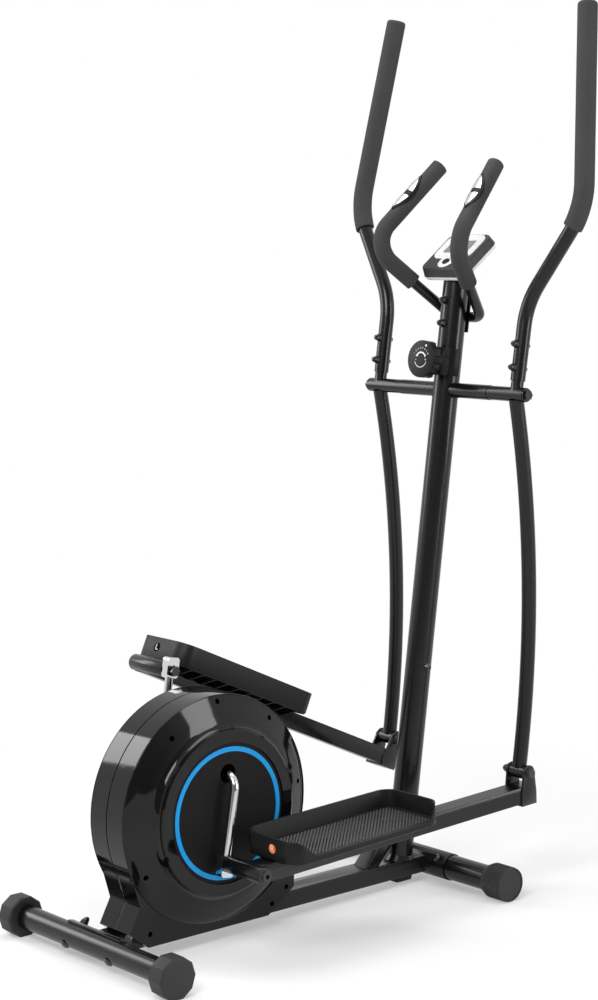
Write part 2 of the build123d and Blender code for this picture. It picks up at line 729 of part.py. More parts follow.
# Line of a bolt that joins the two handlebar tubes, square to the tilted tube
def bolt_line(side, place, height):
    return aim(place, (upper_tilt * height, side * side_y, height), (1, 0, -upper_tilt))


# Lower handlebar: hub on the axle, bowed tube, knee sleeve and tilted spigot
def lower_handle(side, place, node):
    y = side * side_y
    with BuildLine() as path:
        ThreePointArc(
            place.from_local_coords(Vector(0, y, -8)), place.from_local_coords(Vector(bow, y, -rocker / 2)),
            place.from_local_coords(Vector(0, y, -rocker + 8)))
    with BuildPart() as piece:
        swept(path.line, handle_bar)
        swept(path.line, handle_bar - 2 * handle_wall, Mode.SUBTRACT)
        spigot = aim(place, (0, y, 0), (upper_tilt, 0, 1))
        rod(spigot, spigot_bar, bolt_heights[1] + 22)
        rod(spigot, spigot_bar - 2 * wall, bolt_heights[1] + 24, Mode.SUBTRACT)
        inner = aim(place, (0, side * (hub_inner + bush_flange + 0.1), 0), (0, side, 0))
        hub_length = hub_outer - hub_inner - 2 * bush_flange - 0.2
        rod(inner, hub_bar, hub_length)
        rod(inner, axle_shaft + 4.6, hub_length, Mode.SUBTRACT)
        knee = aim(place, (0, side * arm_y - knee_half + 1.6, -rocker), (0, 1, 0))
        rod(knee, knee_bar, 2 * knee_half - 3.2)
        rod(knee, 16.6, 2 * knee_half - 3.2, Mode.SUBTRACT)
        for height in bolt_heights:
            bolt_hole(bolt_line(side, place, height).offset(-40), 6.6, 80)
    save(piece, node)


def axle_bushes(side, place, node):
    with BuildPart() as piece:
        for start, turn in ((hub_inner, side), (hub_outer, -side)):
            flange = aim(place, (0, side * start, 0), (0, turn, 0))
            rod(flange, hub_bar, bush_flange)
            rod(flange.offset(bush_flange), axle_shaft + 4, 20)
            rod(flange, axle_shaft + 2 * running, 40, Mode.SUBTRACT)
    save(piece, node)


def knee_bushes(side, place, node):
    with BuildPart() as piece:
        for turn in (RIGHT, LEFT):
            flange = aim(place, (0, side * arm_y + turn * knee_half, -rocker), (0, -turn, 0))
            rod(flange, 22, 1.5)
            rod(flange.offset(1.5), 16, 16)
            rod(flange, knee_bolt + 2 * running, 20, Mode.SUBTRACT)
    save(piece, node)


# Upper handlebar: one tube bent out and up in a plane that leans forward
def upper_line(side, place, top):
    spots = ((upper_foot, side_y), (upper_low, side_y), (upper_high, upper_wide), (top, upper_close))
    return [place.from_local_coords(Vector(upper_tilt * z, side * y, z)) for z, y in spots]


def upper_handle(side, place, node):
    with BuildLine() as path:
        FilletPolyline(*upper_line(side, place, grip_top - grip_end), radius=upper_bend)
    with BuildPart() as piece:
        swept(path.line, handle_bar)
        swept(path.line, handle_bar - 2 * handle_wall, Mode.SUBTRACT)
        for height in bolt_heights:
            bolt_hole(bolt_line(side, place, height).offset(-40), 6.6, 80)
    save(piece, node)


# Foam hand grip: a sleeve over the upper tube with a rounded closed end
def hand_grip(side, place, node):
    with BuildLine() as tube:
        FilletPolyline(*upper_line(side, place, grip_top - grip_end), radius=upper_bend)
    with BuildLine() as path:
        FilletPolyline(*upper_line(side, place, grip_top), radius=upper_bend)
    sleeve = path.wire().trim(grip_start, 1)
    with BuildPart() as piece:
        swept(sleeve, grip_bar)
        fillet(piece.faces().sort_by(Axis.Z)[-1].edges(), 6)
        swept(tube.line, handle_bar + seat, Mode.SUBTRACT)
    save(piece, node)


def handle_bolts(side, place, node):
    with BuildPart() as piece:
        for height in bolt_heights:
            front = handle_bar / 2 + 0.1
            middle = bolt_line(side, place, height)
            shank(middle.offset(-front - 0.5), 6, 2 * front + 1)
            button_head(middle.offset(front), 7)
            back = middle.offset(-front)
            acorn_nut(Plane(origin=back.origin, z_dir=-back.z_dir), 7.5)
    save(piece, node)


# Knee of an arm: where the arm circle about the pin meets the rocker circle about the axle
def knee_of(pin):
    dx = axle_x - pin[0]
    dz = axle_z - pin[1]
    reach = hypot(dx, dz)
    along = (arm_length ** 2 - rocker ** 2 + reach ** 2) / (2 * reach)
    aside = sqrt(arm_length ** 2 - along ** 2)
    return (pin[0] + (dx * along + dz * aside) / reach, pin[1] + (dz * along - dx * aside) / reach)


def swing_of(knee):
    return degrees(atan2(knee[0] - axle_x, axle_z - knee[1]))


def arm_plane(pin, knee):
    turn = degrees(atan2(knee[1] - pin[1], knee[0] - pin[0]))
    return tilted(pin[0], pin[1], turn - degrees(asin(knee_rise / arm_length)))


# Pedal arm: box tube, pin sleeve behind and a two-eared bracket in front
def pedal_arm(side, place, node):
    y = side * arm_y
    with BuildPart() as piece:
        with BuildSketch(edge_on(place, y + arm_width / 2)):
            with Locations((0, 0)):
                Rectangle(arm_end, arm_height, align=(Align.MIN, Align.CENTER))
        extrude(amount=arm_width)
        with BuildSketch(edge_on(place, y + arm_width / 2 - wall)):
            with Locations((0, 0)):
                Rectangle(arm_end - wall, arm_height - 2 * wall, align=(Align.MIN, Align.CENTER))
        extrude(amount=arm_width - 2 * wall, mode=Mode.SUBTRACT)
        rod(aim(place, (0, side * pin_inner, 0), (0, side, 0)), pin_sleeve, pin_outer - pin_inner)
        rod(aim(place, (0, side * pin_inner, 0), (0, side, 0)), pin_bar + 2 * seat, pin_outer - pin_inner,
            Mode.SUBTRACT)
        with BuildSketch(place.offset(-arm_height / 2 - 4)):
            with Locations((knee_reach, y)):
                Rectangle(40, 2 * (ear_inner + ear_thick))
        extrude(amount=4)
        for turn in (RIGHT, LEFT):
            with BuildSketch(edge_on(place, y + turn * ear_inner)):
                with Locations((knee_reach, knee_rise)):
                    Circle(ear_radius)
                with Locations((knee_reach, -arm_height / 2 - 4)):
                    Polygon((-20, 0), (20, 0), (20, 22), (ear_radius, 62), (-ear_radius, 62), (-20, 22), align=None)
            extrude(amount=-turn * ear_thick)
        rod(aim(place, (knee_reach, y - 40, knee_rise), (0, 1, 0)), knee_bolt + 2 * seat, 80, Mode.SUBTRACT)
        for x in (tray_rear + 70, tray_front - 70):
            bolt_hole(aim(place, (x, y, 0), (0, 0, 1)), 7, arm_height)
    save(piece, node)


# Foot tray: rimmed tray with a cut-down outer side and a ribbed underside
def foot_tray(side, place, node):
    middle = ((tray_rear + tray_front) / 2, side * (tray_inner + tray_outer) / 2)
    length = tray_front - tray_rear
    width = tray_outer - tray_inner
    with BuildPart() as piece:
        with BuildSketch(place.offset(tray_base)):
            with Locations(middle):
                RectangleRounded(length, width, tray_corner)
        extrude(amount=tray_rim - tray_base)
        chamfer(piece.faces().sort_by(Axis(place.origin, place.z_dir))[0].edges(), 3)
        with BuildSketch(place.offset(tray_floor)):
            with Locations(middle):
                RectangleRounded(length - 2 * tray_wall, width - 2 * tray_wall, tray_corner - tray_wall)
        extrude(amount=tray_rim, mode=Mode.SUBTRACT)
        with BuildSketch(edge_on(place, side * (tray_outer + 10))):
            with Locations((tray_rear, 0)):
                Polygon(
                    (9, tray_rim + 1), (24, 50), (46, tray_floor + 3), (190, tray_floor + 2),
                    (324, tray_floor + 2), (332, 40), (338, tray_rim + 1), align=None)
        extrude(amount=side * 60, mode=Mode.SUBTRACT)
        with BuildSketch(place.offset(tray_base)):
            with Locations(middle):
                RectangleRounded(length - 2 * tray_wall, width - 2 * tray_wall, tray_corner - tray_wall)
                with GridLocations(42, 0, 7, 1):
                    Rectangle(2.5, width, mode=Mode.SUBTRACT)
            with Locations((middle[0], side * arm_y)):
                Rectangle(length, arm_width + 4, mode=Mode.SUBTRACT)
        extrude(amount=tray_floor - tray_base - 3, mode=Mode.SUBTRACT)
        for x in (tray_rear + 70, tray_front - 70):
            bolt_hole(aim(place, (x, side * arm_y, 0), (0, 0, 1)), 7, 60)
            rod(aim(place, (x, side * arm_y, tray_floor - 3.4), (0, 0, 1)), 14.6, 60, Mode.SUBTRACT)
    save(piece, node)


# Pedal bolts: crank pin in its sleeve, knee bolt with cap nut, tray bolts
def pedal_bolts(side, place, node):
    y = side * arm_y
    with BuildPart() as piece:
        outer = aim(place, (0, side * (pin_outer + 0.1), 0), (0, side, 0))
        rod(outer.offset(pin_inner - pin_outer), pin_bar, pin_outer - pin_inner + 1)
        rod(outer, 27, 2)
        hexagon(outer.offset(2), 17, 5)
        ear = ear_inner + ear_thick + 0.1
        head = aim(place, (knee_reach, y + side * ear, knee_rise), (0, side, 0))
        rod(head.offset(-2 * ear - 1), knee_bolt, 2 * ear + 2)
        rod(head, 20, 1.6)
        hexagon(head.offset(1.6), 16, 6)
        acorn_nut(aim(place, (knee_reach, y - side * ear, knee_rise), (0, -side, 0)), knee_bolt)
        for x in (tray_rear + 70, tray_front - 70):
            bolt = aim(place, (x, y, tray_floor - 3.3), (0, 0, 1))
            rod(bolt, 13.5, 3)
            shank(bolt.offset(-16), 6, 17)
    save(piece, node)


for side, pin, word in ((RIGHT, right_pin, "right"), (LEFT, left_pin, "left")):
    knee = knee_of(pin)
    handle = tilted(axle_x, axle_z, swing_of(knee))
    arm = arm_plane(pin, knee)
    lower_handle(side, handle, word + "_lower_handle")
    axle_bushes(side, handle, word + "_axle_bushes")
    knee_bushes(side, handle, word + "_knee_bushes")
    upper_handle(side, handle, word + "_upper_handle")
    hand_grip(side, handle, word + "_hand_grip")
    handle_bolts(side, handle, word + "_handle_bolts")
    pedal_arm(side, arm, word + "_pedal_arm")
    foot_tray(side, arm, word + "_foot_tray")
    pedal_bolts(side, arm, word + "_pedal_bolts")

# Dial base: a clamp round the back of the post with a spindle
dial_bar = 71.0
dial_thick = 22.0
dial_face = 76.0
dial_back = dial_face - dial_thick
with BuildPart() as dial_base:
    with BuildSketch(post.offset(dial_height - 26)):
        with Locations((-post_bar / 2 + 6, 0)):
            Rectangle(dial_back - post_bar / 2 - seat - 4, 46, align=(Align.MAX, Align.CENTER))
        Circle(post_bar / 2 + 4)
        Rectangle(post_bar, 2 * post_bar, align=(Align.MIN, Align.CENTER), mode=Mode.SUBTRACT)
    extrude(amount=52)
    rod(aim(post, (-post_bar / 2, 0, dial_height), (-1, 0, 0)), 50, dial_back - post_bar / 2 - seat)
    rod(aim(post, (-post_bar / 2, 0, dial_height), (-1, 0, 0)), 8, dial_back - post_bar / 2 + 14)
    rod(post.offset(dial_height - 40), post_bar + 2 * seat, 80, Mode.SUBTRACT)
    rod(aim(post, (0, 0, dial_height), (-1, 0, 0)), 6, 45, Mode.SUBTRACT)
save(dial_base, "dial_base")

# Tension dial with a castellated rim
with BuildPart() as tension_dial:
    place = aim(post, (-dial_back, 0, dial_height), (-1, 0, 0))
    with BuildSketch(place):
        Circle(dial_bar / 2)
        with PolarLocations(dial_bar / 2 + 3, 10):
            Circle(7, mode=Mode.SUBTRACT)
    extrude(amount=dial_thick - 5)
    rod(place.offset(dial_thick - 5), dial_bar, 5)
    chamfer(tension_dial.faces().sort_by(Axis(place.origin, place.z_dir))[-1].edges(), 1.2)
    rod(place, 8 + 2 * running, 15, Mode.SUBTRACT)
save(tension_dial, "tension_dial")

# Pulse bar: one tube bent round the front of the post, with a fixing plate
pulse_bar_size = 20.0
low_half = 38.0
pulse_grip_size = 33.0
low_corner = post.from_local_coords(Vector(bar_u, 0, pulse_height))
bend_back = 151.4
bend_rise = 138.8
bend_half = 112.0
top_back = 6.4
top_rise = 284.8
top_half = 75.0


def pulse_points(side):
    return [
        low_corner + Vector(0, side * low_half, 0), low_corner + Vector(-bend_back, side * bend_half, bend_rise),
        low_corner + Vector(-top_back, side * top_half, top_rise)]


with BuildLine() as pulse_path:
    FilletPolyline(*reversed(pulse_points(RIGHT)), *pulse_points(LEFT), radius=[50, 25, 25, 50])
with BuildPart() as pulse_bar:
    swept(pulse_path.line, pulse_bar_size)
    swept(pulse_path.line, pulse_bar_size - 2 * wall, Mode.SUBTRACT)
    with BuildSketch(Plane(origin=post.from_local_coords(Vector(post_bar / 2 + 0.1, 0, pulse_low - 12)),
                           x_dir=(0, 1, 0), z_dir=post.x_dir)):
        Rectangle(34, pulse_high - pulse_low + 24, align=(Align.CENTER, Align.MIN))
    extrude(amount=3)
    for height in (pulse_low, pulse_high):
        bolt_hole(aim(post, (0, 0, height), (1, 0, 0)), 8.6, 80)
save(pulse_bar, "pulse_bar")

def pulse_grip_line(side, extra):
    foot, bend, top = pulse_points(side)
    with BuildLine() as path:
        FilletPolyline(bend + (foot - bend) * 0.52, bend, top + (top - bend).normalized() * extra, radius=50)
    return path.line


with BuildPart() as pulse_grips:
    for side in (RIGHT, LEFT):
        swept(pulse_grip_line(side, 6), pulse_grip_size)
        swept(pulse_grip_line(side, 0), pulse_bar_size + seat, Mode.SUBTRACT)
save(pulse_grips, "pulse_grips")


# Sensor holders and plates: leaf-shaped shells on the upper run of each pulse grip
def sensor_plane(side):
    foot, bend, top = pulse_points(side)
    along = (top - bend).normalized()
    middle = bend + (top - bend) * 0.6
    outward = Vector(-0.7, 0, 0.71)
    outward = (outward - along * outward.dot(along)).normalized()
    return Plane(origin=middle, x_dir=along, z_dir=outward)


def sensor_shell(place, inner, outer, length, width, band):
    with BuildSketch(place.offset(4)) as leaf:
        with BuildLine():
            ThreePointArc((-length / 2, 0), (0, width / 2), (length / 2, 0))
            ThreePointArc((length / 2, 0), (0, -width / 2), (-length / 2, 0))
        make_face()
        if band:
            Rectangle(band, width, mode=Mode.SUBTRACT)
    with BuildSketch(aim(place, (-length / 2, 0, 0), (1, 0, 0))) as ring:
        Circle(outer)
        Circle(inner, mode=Mode.SUBTRACT)
    shell_solid = extrude(ring.sketch, amount=length, mode=Mode.PRIVATE)
    cutter = extrude(leaf.sketch, amount=40, mode=Mode.PRIVATE)
    add(shell_solid & cutter)


with BuildPart() as sensor_holders:
    for side in (RIGHT, LEFT):
        sensor_shell(sensor_plane(side), pulse_grip_size / 2 + 0.2, pulse_grip_size / 2 + 2, 94, 31, 0)
save(sensor_holders, "sensor_holders")

with BuildPart() as sensor_plates:
    for side in (RIGHT, LEFT):
        inner = pulse_grip_size / 2 + 2.1
        sensor_shell(sensor_plane(side), inner, inner + 0.8, 82, 22, 12)
save(sensor_plates, "sensor_plates")

# Console
tilt = radians(console_tilt)
face_normal = (-sin(tilt), 0, cos(tilt))
console_spot = post.from_local_coords(Vector(-console_set_back, 0, post_top + console_rise))
console = Plane(origin=console_spot, x_dir=(0, -1, 0), z_dir=face_normal)
face_spot = (0, 14.5)
tongue_spot = (0, -32)

with BuildPart() as console_back:
    rod(post.offset(post_top - 12), post_bar + 7, 100)
    with BuildSketch(console.offset(1 - console_half)):
        Rectangle(3 * console_width, 3 * console_length)
    extrude(amount=200, mode=Mode.SUBTRACT)
    with BuildSketch(console.offset(-console_half)):
        RectangleRounded(console_width - 6, console_length - 6, console_corner - 3)
    with BuildSketch(console.offset(-4)):
        RectangleRounded(console_width, console_length, console_corner)
    loft()
    with BuildSketch(console.offset(shell - console_half)):
        RectangleRounded(console_width - 6 * shell, console_length - 6 * shell, console_corner - 3 * shell)
    extrude(amount=console_half, mode=Mode.SUBTRACT)
    rod(post.offset(post_top - 120), post_bar + 2 * seat, 121, Mode.SUBTRACT)
save(console_back, "console_back")

with BuildPart() as console_bezel:
    with BuildSketch(console.offset(-4)):
        RectangleRounded(console_width - 2, console_length - 2, console_corner - 1)
    extrude(amount=18, taper=12)
    fillet(console_bezel.faces().sort_by(Axis(console.origin, console.z_dir))[-1].edges(), 3)
    with BuildSketch(console.offset(-4)):
        RectangleRounded(console_width - 22, console_length - 22, console_corner - 11)
    extrude(amount=10, mode=Mode.SUBTRACT)
    with BuildSketch(console.offset(10)):
        with Locations(face_spot):
            RectangleRounded(face_wide, face_long, face_corner)
        with Locations(tongue_spot):
            Circle(tongue_radius)
        with Locations((0, (face_spot[1] + tongue_spot[1]) / 2)):
            Rectangle(2 * tongue_radius, face_spot[1] - tongue_spot[1])
    extrude(amount=20, mode=Mode.SUBTRACT)
    with BuildSketch(console):
        with Locations(tongue_spot):
            Circle(button_bar / 2 + 2)
    extrude(amount=20, mode=Mode.SUBTRACT)
    rod(post.offset(post_top - 120), post_bar + 2 * seat, 122, Mode.SUBTRACT)
save(console_bezel, "console_bezel")

with BuildPart() as console_face:
    with BuildSketch(console.offset(10)):
        with Locations(face_spot):
            RectangleRounded(face_wide - 2 * seat, face_long - 2 * seat, face_corner - seat)
        with Locations(tongue_spot):
            Circle(tongue_radius - seat)
        with Locations((0, (face_spot[1] + tongue_spot[1]) / 2)):
            Rectangle(2 * tongue_radius - 2 * seat, face_spot[1] - tongue_spot[1])
    extrude(amount=5)
    with BuildSketch(console.offset(10)):
        with Locations(face_spot):
            RectangleRounded(screen_wide, screen_long, 5)
        with Locations(tongue_spot):
            Circle(button_bar / 2 + running)
    extrude(amount=10, mode=Mode.SUBTRACT)
save(console_face, "console_face")

with BuildPart() as console_screen:
    with BuildSketch(console.offset(10)):
        with Locations(face_spot):
            RectangleRounded(screen_wide - 2 * seat, screen_long - 2 * seat, 5 - seat)
    extrude(amount=3.6)
save(console_screen, "console_screen")

with BuildPart() as console_button:
    with BuildSketch(console.offset(8)):
        with Locations(tongue_spot):
            Circle(button_bar / 2)
    extrude(amount=8.5)
    chamfer(console_button.faces().sort_by(Axis(console.origin, console.z_dir))[-1].edges(), 0.8)
save(console_button, "console_button")
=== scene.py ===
import json
import math
import bpy
import bmesh
from mathutils import Matrix, Vector


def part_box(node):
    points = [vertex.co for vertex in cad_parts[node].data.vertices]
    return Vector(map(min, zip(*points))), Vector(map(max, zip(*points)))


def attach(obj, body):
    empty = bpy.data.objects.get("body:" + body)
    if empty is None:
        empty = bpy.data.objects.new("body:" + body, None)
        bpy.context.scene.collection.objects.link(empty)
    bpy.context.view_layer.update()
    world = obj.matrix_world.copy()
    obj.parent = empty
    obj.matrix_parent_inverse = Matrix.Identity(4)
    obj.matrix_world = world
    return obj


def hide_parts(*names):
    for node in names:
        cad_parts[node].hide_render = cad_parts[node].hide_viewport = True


# Dresses the elliptical trainer: a finish for every solid, foam grips, tread, ribs and printed marks.

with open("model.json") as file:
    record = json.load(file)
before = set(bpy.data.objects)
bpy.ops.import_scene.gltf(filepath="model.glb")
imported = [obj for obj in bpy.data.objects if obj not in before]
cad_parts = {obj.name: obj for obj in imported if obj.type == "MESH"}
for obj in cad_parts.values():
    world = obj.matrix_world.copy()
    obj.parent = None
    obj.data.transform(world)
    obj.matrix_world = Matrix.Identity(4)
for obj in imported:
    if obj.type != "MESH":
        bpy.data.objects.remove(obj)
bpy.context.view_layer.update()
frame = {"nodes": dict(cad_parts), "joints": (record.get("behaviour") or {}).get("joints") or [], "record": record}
nodes = frame["nodes"]
joints = {joint["name"]: joint for joint in frame["joints"]}
mm = 0.001

# Sizes of the added pieces, in metres
tray_length = 352 * mm
tray_width = 140 * mm
tray_height = 42 * mm
tray_floor_drop = 11 * mm
tray_wall = 4 * mm
tread_pitch = 8 * mm
stud_size = 2.4 * mm
stud_height = 1.1 * mm
mark_radius = 8.5 * mm
mark_out = 10 * mm
print_thick = 0.25 * mm
grip_voxel = 2.0 * mm
foam_ripple = 0.25 * mm
housing_seam = -6.5 * mm
drum_radius = 204.4 * mm
drum_half = 45.4 * mm
bead_thick = 0.9 * mm
rib_pitch = 31 * mm
rib_thick = 2 * mm
rib_drop = 15 * mm
rib_root = 6.8 * mm
rib_land = 4 * mm
rib_edge = 0.4 * mm
rib_gap = 0.2 * mm
rib_count = 10
arm_off_middle = 4 * mm
arm_half = 19 * mm
arm_gap = 0.4 * mm
boss_gap = 2.2 * mm
socket_radius = 4.5 * mm
dial_radius = 35.5 * mm
sweep_band = (11 * mm, 13.6 * mm)
ring_band = (15.4 * mm, 16.6 * mm)
number_circle = 20.5 * mm
number_size = 4.6 * mm
sign_size = 9 * mm
sign_spot = (13 * mm, -1.5 * mm)
arrow_circle = 12.3 * mm
arrow_size = 3.4 * mm
dot_size = 2.2 * mm
crease = math.radians(32)

# Camera of the photograph
camera_spot = Vector((-2.55604, -2.89487, 1.22482))
camera_yaw = math.radians(48.55)
camera_pitch = math.radians(-6.78)
lens_length = 77.01
frame_height = 36.0

# Share of plain white in the floor beside the object
floor_lift = 0.35

# Light from the room, and its brightness where polished surfaces mirror the camera's side
room_light = 0.35
dark_room = 0.2
camera_side = (-0.66, -0.74, 0.12)


class Wire:
    """A socket in a finish that can be used in sums."""

    def __init__(self, finish, socket):
        self.finish = finish
        self.socket = socket

    def joined(self, operation, first, second):
        return self.finish.node("ShaderNodeMath", {"operation": operation}, {0: first, 1: second})

    def __add__(self, other):
        return self.joined("ADD", self, other)

    def __radd__(self, other):
        return self.joined("ADD", other, self)

    def __sub__(self, other):
        return self.joined("SUBTRACT", self, other)

    def __rsub__(self, other):
        return self.joined("SUBTRACT", other, self)

    def __mul__(self, other):
        return self.joined("MULTIPLY", self, other)

    def __rmul__(self, other):
        return self.joined("MULTIPLY", other, self)

    def __gt__(self, other):
        return self.joined("GREATER_THAN", self, other)

    def or_more(self, other):
        return self.joined("MAXIMUM", self, other)


class Finish:
    """A material, or the world, and the nodes that make it."""

    def __init__(self, name, owner=None):
        self.owner = owner or bpy.data.materials.new(name)
        self.owner.use_nodes = True
        self.tree = self.owner.node_tree
        self.tree.nodes.clear()
        self.spot = self.node("ShaderNodeTexCoord", out="Object")

    def node(self, kind, settings=None, values=None, out=0):
        made = self.tree.nodes.new(kind)
        for key, value in (settings or {}).items():
            setattr(made, key, value)
        for key, value in (values or {}).items():
            socket = made.inputs[key]
            if isinstance(value, Wire):
                self.tree.links.new(value.socket, socket)
            else:
                socket.default_value = value
        return Wire(self, made.outputs[out])

    def noise(self, scale, detail=2.0, place=None):
        values = {"Vector": place or self.spot, "Scale": scale, "Detail": detail}
        return self.node("ShaderNodeTexNoise", None, values)

    def pores(self, scale):
        return self.node("ShaderNodeTexVoronoi", None, {"Vector": self.spot, "Scale": scale})

    def stretched(self, scale):
        return self.node("ShaderNodeMapping", None, {"Vector": self.spot, "Scale": scale})

    def blend(self, amount, first, second):
        values = {"Factor": amount, "A": first, "B": second}
        return self.node("ShaderNodeMix", {"data_type": "RGBA"}, values, out="Result")

    def relief(self, height, depth, strength, under=None):
        values = {"Height": height, "Distance": depth, "Strength": strength}
        if under is not None:
            values["Normal"] = under
        return self.node("ShaderNodeBump", None, values)

    def ray(self, kind):
        return self.node("ShaderNodeLightPath", out="Is %s Ray" % kind)

    def surface(self, values):
        shader = self.node("ShaderNodeBsdfPrincipled", None, values, out="BSDF")
        self.shown("ShaderNodeOutputMaterial", shader)
        return self.owner

    def shown(self, kind, shader):
        end = self.tree.nodes.new(kind)
        self.tree.links.new(shader.socket, end.inputs["Surface"])


def tone(level, tint=(1.0, 1.0, 1.0)):
    return (level * tint[0], level * tint[1], level * tint[2], 1.0)


# Finishes

def moulded(name, dark, light, rough, spread, grain, depth, shine=0.25):
    """Moulded plastic: fine grain, a slow change of tone and a little wear in the gloss."""
    finish = Finish(name)
    slow = finish.noise(14.0, 3.0)
    fine = finish.noise(grain, 2.0)
    return finish.surface({
        "Base Color": finish.blend(slow, dark, light),
        "Roughness": rough + spread * slow + 0.05 * fine,
        "Specular IOR Level": shine,
        "Normal": finish.relief(fine, depth, 0.35)})


def painted(name, level, rough, shine=0.3):
    """Powder coat on steel tube, with its slight orange peel."""
    finish = Finish(name)
    slow = finish.noise(9.0, 3.0)
    peel = finish.noise(620.0, 2.0)
    return finish.surface({
        "Base Color": finish.blend(slow, tone(level * 0.8), tone(level * 1.25, (1.0, 1.0, 1.03))),
        "Roughness": rough + 0.08 * slow + 0.05 * peel,
        "Specular IOR Level": shine,
        "Normal": finish.relief(peel, 0.00002, 0.1)})


def polished(name, level, rough):
    """Plated metal with faint polishing lines."""
    finish = Finish(name)
    lines = finish.noise(1.0, 2.0, finish.stretched((900.0, 900.0, 60.0)))
    slow = finish.noise(20.0, 2.0)
    return finish.surface({
        "Base Color": finish.blend(slow, tone(level * 0.94), tone(level)),
        "Metallic": 1.0,
        "Roughness": rough + 0.05 * lines + 0.04 * slow,
        "Normal": finish.relief(lines, 0.00003, 0.15)})


def foam_rubber(name, level):
    """Closed-cell foam: fine pores over a soft uneven tone."""
    finish = Finish(name)
    cells = finish.pores(1500.0)
    soft = finish.noise(260.0, 4.0)
    slow = finish.noise(11.0, 2.0)
    return finish.surface({
        "Base Color": finish.blend(slow, tone(level * 0.85), tone(level * 1.2)),
        "Roughness": 0.66 + 0.14 * soft,
        "Specular IOR Level": 0.3,
        "Normal": finish.relief(cells + 0.8 * soft, 0.0002, 0.35)})


def housing_plastic(name):
    """Gloss black housing: nearly mirror smooth, with slow waves and faint handling marks."""
    finish = Finish(name)
    wave = finish.noise(4.0, 0.0)
    haze = finish.noise(30.0, 4.0)
    scuff = finish.noise(1.0, 3.0, finish.stretched((220.0, 30.0, 60.0)))
    across = finish.node("ShaderNodeSeparateXYZ", None, {0: finish.spot}, out="Y")
    off_seam = finish.node("ShaderNodeMath", {"operation": "ABSOLUTE"}, {0: across - housing_seam})
    seam = finish.node("ShaderNodeMapRange", None, {
        "Value": off_seam, "From Min": 0.3 * mm, "From Max": 1.4 * mm})
    return finish.surface({
        "Base Color": finish.blend(haze, tone(0.002), tone(0.004)),
        "Roughness": 0.04 + 0.04 * haze + 0.04 * (scuff > 0.68),
        "Specular IOR Level": 0.3,
        "Normal": finish.relief(seam, 0.001, 1.0, finish.relief(wave, 0.0008, 0.06))})


def screen_glass(name):
    """Display window: grey-green with faint rows of pixels below a clear cover."""
    finish = Finish(name)
    rows = finish.noise(1.0, 1.0, finish.stretched((300.0, 1600.0, 300.0)))
    slow = finish.noise(25.0, 2.0)
    return finish.surface({
        "Base Color": finish.blend(rows, (0.10, 0.12, 0.10, 1.0), (0.16, 0.18, 0.155, 1.0)),
        "Roughness": 0.08 + 0.06 * slow,
        "Coat Weight": 0.5})


satin_black = painted("satin black paint", 0.004, 0.17, 0.36)
gloss_black = housing_plastic("gloss black housing")
chrome = polished("crank chrome", 0.66, 0.06)
plate_chrome = polished("sensor chrome", 0.72, 0.1)
white_print = moulded("white print", tone(0.74), tone(0.82), 0.4, 0.1, 900.0, 0.00003)
orange_print = moulded("orange print", (0.80, 0.16, 0.02, 1), (0.88, 0.20, 0.03, 1), 0.4, 0.1, 900.0, 0.00003)
# Black print for the left tray's mark, also used as painted shade in the crank pin sockets
black_print_and_painted_shade = moulded("black print and painted shade", tone(0.001), tone(0.002), 0.5, 0.1, 900.0, 0.00003, 0.02)
tray_black = moulded("tray black plastic", tone(0.005), tone(0.008), 0.38, 0.12, 1500.0, 0.0001, 0.22)
# Tread studs: the tray's black plastic drawn lighter as painted sheen of the lit floor; their higher gloss is real
tread_black_and_painted_sheen = moulded("tread plastic with painted sheen", tone(0.018), tone(0.03), 0.24, 0.1, 1500.0, 0.0001, 0.6)
foam_grey = foam_rubber("foam grip", 0.034)

finish_of_slot = {
    "satin_black": satin_black,
    "gloss_black": gloss_black,
    "disc_black": moulded("disc black plastic", tone(0.006), tone(0.009), 0.42, 0.1, 1900.0, 0.00012, 0.12),
    "ring_blue": moulded(
        "ring blue", (0.004, 0.27, 0.66, 1), (0.005, 0.31, 0.74, 1), 0.3, 0.1, 1300.0, 0.00004),
    "crank_chrome": chrome,
    "cast_iron": painted("turned cast iron", 0.12, 0.45),
    "bright_steel": polished("brushed steel", 0.6, 0.3),
    "belt_rubber": moulded("belt rubber", tone(0.02), tone(0.03), 0.7, 0.1, 700.0, 0.0003),
    "foot_rubber": moulded("foot rubber", tone(0.02), tone(0.03), 0.75, 0.1, 700.0, 0.0003),
    "sensor_chrome": plate_chrome,
    "white_plastic": moulded("white shell plastic", tone(0.74), tone(0.8), 0.25, 0.08, 1500.0, 0.00005),
    "silver_plastic": moulded("silver painted plastic", tone(0.66), tone(0.74), 0.26, 0.08, 2400.0, 0.00008),
    "screen": screen_glass("display window"),
    "bezel_grey": moulded("bezel grey plastic", tone(0.022), tone(0.032), 0.3, 0.1, 1600.0, 0.0001),
    "grey_plastic": moulded("dial grey plastic", tone(0.005), tone(0.008), 0.3, 0.1, 1500.0, 0.00006, 0.14),
    "foam": foam_grey,
    "tray_black": tray_black,
    "cap_grey": moulded("cap grey plastic", tone(0.022), tone(0.032), 0.45, 0.12, 1300.0, 0.0002),
    "bush_grey": moulded("bush grey plastic", tone(0.005), tone(0.008), 0.22, 0.08, 1300.0, 0.00005, 0.4),
    "dark_bolts": painted("black zinc", 0.006, 0.1, 0.6)}

# Pieces whose edges are rounded, and by how much
soft_edge = {
    "right_foot_tray": 1.2 * mm, "left_foot_tray": 1.2 * mm, "dial_base": 1.2 * mm, "tension_dial": 0.6 * mm,
    "right_levelling_cap": 1.5 * mm, "left_levelling_cap": 1.5 * mm, "console_back": 1.0 * mm,
    "console_face": 0.6 * mm, "right_pedal_arm": 1.0 * mm, "left_pedal_arm": 1.0 * mm, "base_rail": 1.0 * mm}

